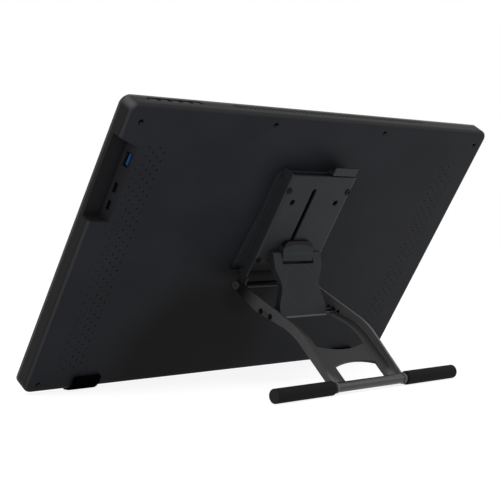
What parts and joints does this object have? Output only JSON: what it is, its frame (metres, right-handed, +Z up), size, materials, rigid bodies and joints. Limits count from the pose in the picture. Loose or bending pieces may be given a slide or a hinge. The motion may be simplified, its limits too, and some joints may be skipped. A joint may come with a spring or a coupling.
{
  "type": "pen display on folding stand",
  "caption": "Graphics tablet with its own screen, sockets in a side bay and keys on its top edge, standing on a folding bar stand.",
  "frame": {"origin": "centre of the footprint on the ground", "axes": "+X towards the side with the sockets, +Y towards the side with the stand, +Z up; the screen leans back and faces -Y"},
  "size_m": [0.49, 0.2238, 0.2614],
  "materials": {
    "screen_glass": "polished",
    "front_black": "satin",
    "panel": "polished",
    "diffuser": "satin",
    "board_green": "satin",
    "shield_sheet": "satin",
    "plated_steel": "satin",
    "flat_cable": "satin",
    "blue_plastic": "satin",
    "black_plastic": "satin",
    "charcoal_plastic": "fine texture",
    "dark_screws": "satin",
    "rubber": "matt",
    "painted_sheet": "satin",
    "frame_sheet": "satin",
    "satin_tube": "satin",
    "washer_plastic": "satin",
    "slider_plastic": "satin",
    "lever_paint": "satin"
  },
  "bodies": {
    "tablet": {"cover_glass": "screen_glass", "front_frame": "front_black", "lcd_panel": "panel", "backlight": "diffuser", "sensor_board": "board_green", "shield_plate": "shield_sheet", "main_board": "board_green", "board_screws": "plated_steel", "key_board": "board_green", "key_cable": "flat_cable", "panel_cable": "flat_cable", "usb_a_socket": "plated_steel", "usb_c_socket_upper": "plated_steel", "usb_c_socket_lower": "plated_steel", "usb_a_tongue": "blue_plastic", "usb_c_tongues": "black_plastic", "rear_cover": "charcoal_plastic", "housing_screws": "dark_screws", "foot_left": "rubber", "foot_right": "rubber", "bracket_plate": "painted_sheet", "stand_tray": "painted_sheet", "tray_screws": "plated_steel", "fold_screws": "dark_screws", "lever_pin": "plated_steel", "lever_spring": "plated_steel", "bar_guides": "plated_steel", "hinge_rod": "dark_screws", "hinge_caps": "plated_steel", "hinge_washers": "washer_plastic"},
    "base": {"base_frame": "frame_sheet", "cross_tube": "satin_tube", "grip_left": "rubber", "grip_right": "rubber", "strut_pin": "plated_steel", "strut_spacers": "black_plastic", "strut_screws": "plated_steel", "flange_plugs": "black_plastic"},
    "strut": {"strut": "painted_sheet", "knuckle_pin": "plated_steel"},
    "slider": {"slider_block": "slider_plastic", "slider_guide": "plated_steel"},
    "lever": {"release_lever": "lever_paint"},
    "lock": {"lock_bar": "plated_steel"},
    "button_1": {"key_1": "black_plastic"},
    "button_2": {"key_2": "black_plastic"},
    "button_3": {"key_3": "black_plastic"},
    "button_4": {"key_4": "black_plastic"},
    "button_5": {"key_5": "black_plastic"}
  },
  "joints": [
    {"name": "stand_fold", "type": "hinge", "parent": "tablet", "child": "base", "pos_m": [0, -0.02205, 0.09537], "axis": [1, 0, 0], "range_deg": [0, 78.71]},
    {"name": "strut_swing", "type": "hinge", "parent": "base", "child": "strut", "pos_m": [0, 0.01813, 0.06911], "axis": [1, 0, 0], "range_deg": [-122.07, 0]},
    {"name": "slider_turn", "type": "hinge", "parent": "strut", "child": "slider", "pos_m": [0, 0.00989, 0.1245], "axis": [1, 0, 0], "range_deg": [0, 43.36]},
    {"name": "lever_press", "type": "hinge", "parent": "tablet", "child": "lever", "pos_m": [-0.0245, 0.03102, 0.17931], "axis": [1, 0, 0], "range_deg": [0, 4], "stiffness_Nm_per_rad": 1.5, "springref_deg": -8.59},
    {"name": "lock_slide", "type": "slide", "parent": "tablet", "child": "lock", "axis": [0, -0.8371, 0.5471], "range_m": [0, 0.00115]},
    {"name": "key_1_press", "type": "slide", "parent": "tablet", "child": "button_1", "axis": [0, -0.5471, -0.8371], "range_m": [0, 0.0006], "stiffness_N_per_m": 400, "springref_m": -0.002},
    {"name": "key_2_press", "type": "slide", "parent": "tablet", "child": "button_2", "axis": [0, -0.5471, -0.8371], "range_m": [0, 0.0006], "stiffness_N_per_m": 400, "springref_m": -0.002},
    {"name": "key_3_press", "type": "slide", "parent": "tablet", "child": "button_3", "axis": [0, -0.5471, -0.8371], "range_m": [0, 0.0006], "stiffness_N_per_m": 400, "springref_m": -0.002},
    {"name": "key_4_press", "type": "slide", "parent": "tablet", "child": "button_4", "axis": [0, -0.5471, -0.8371], "range_m": [0, 0.0006], "stiffness_N_per_m": 400, "springref_m": -0.002},
    {"name": "key_5_press", "type": "slide", "parent": "tablet", "child": "button_5", "axis": [0, -0.5471, -0.8371], "range_m": [0, 0.0006], "stiffness_N_per_m": 400, "springref_m": -0.002}
  ],
  "couplings": [
    {"joint": "strut_swing", "follows": "stand_fold", "ratio": -1.5471},
    {"joint": "slider_turn", "follows": "stand_fold", "ratio": 0.5471},
    {"joint": "lock_slide", "follows": "lever_press", "m_per_rad": 0.015987}
  ]
}
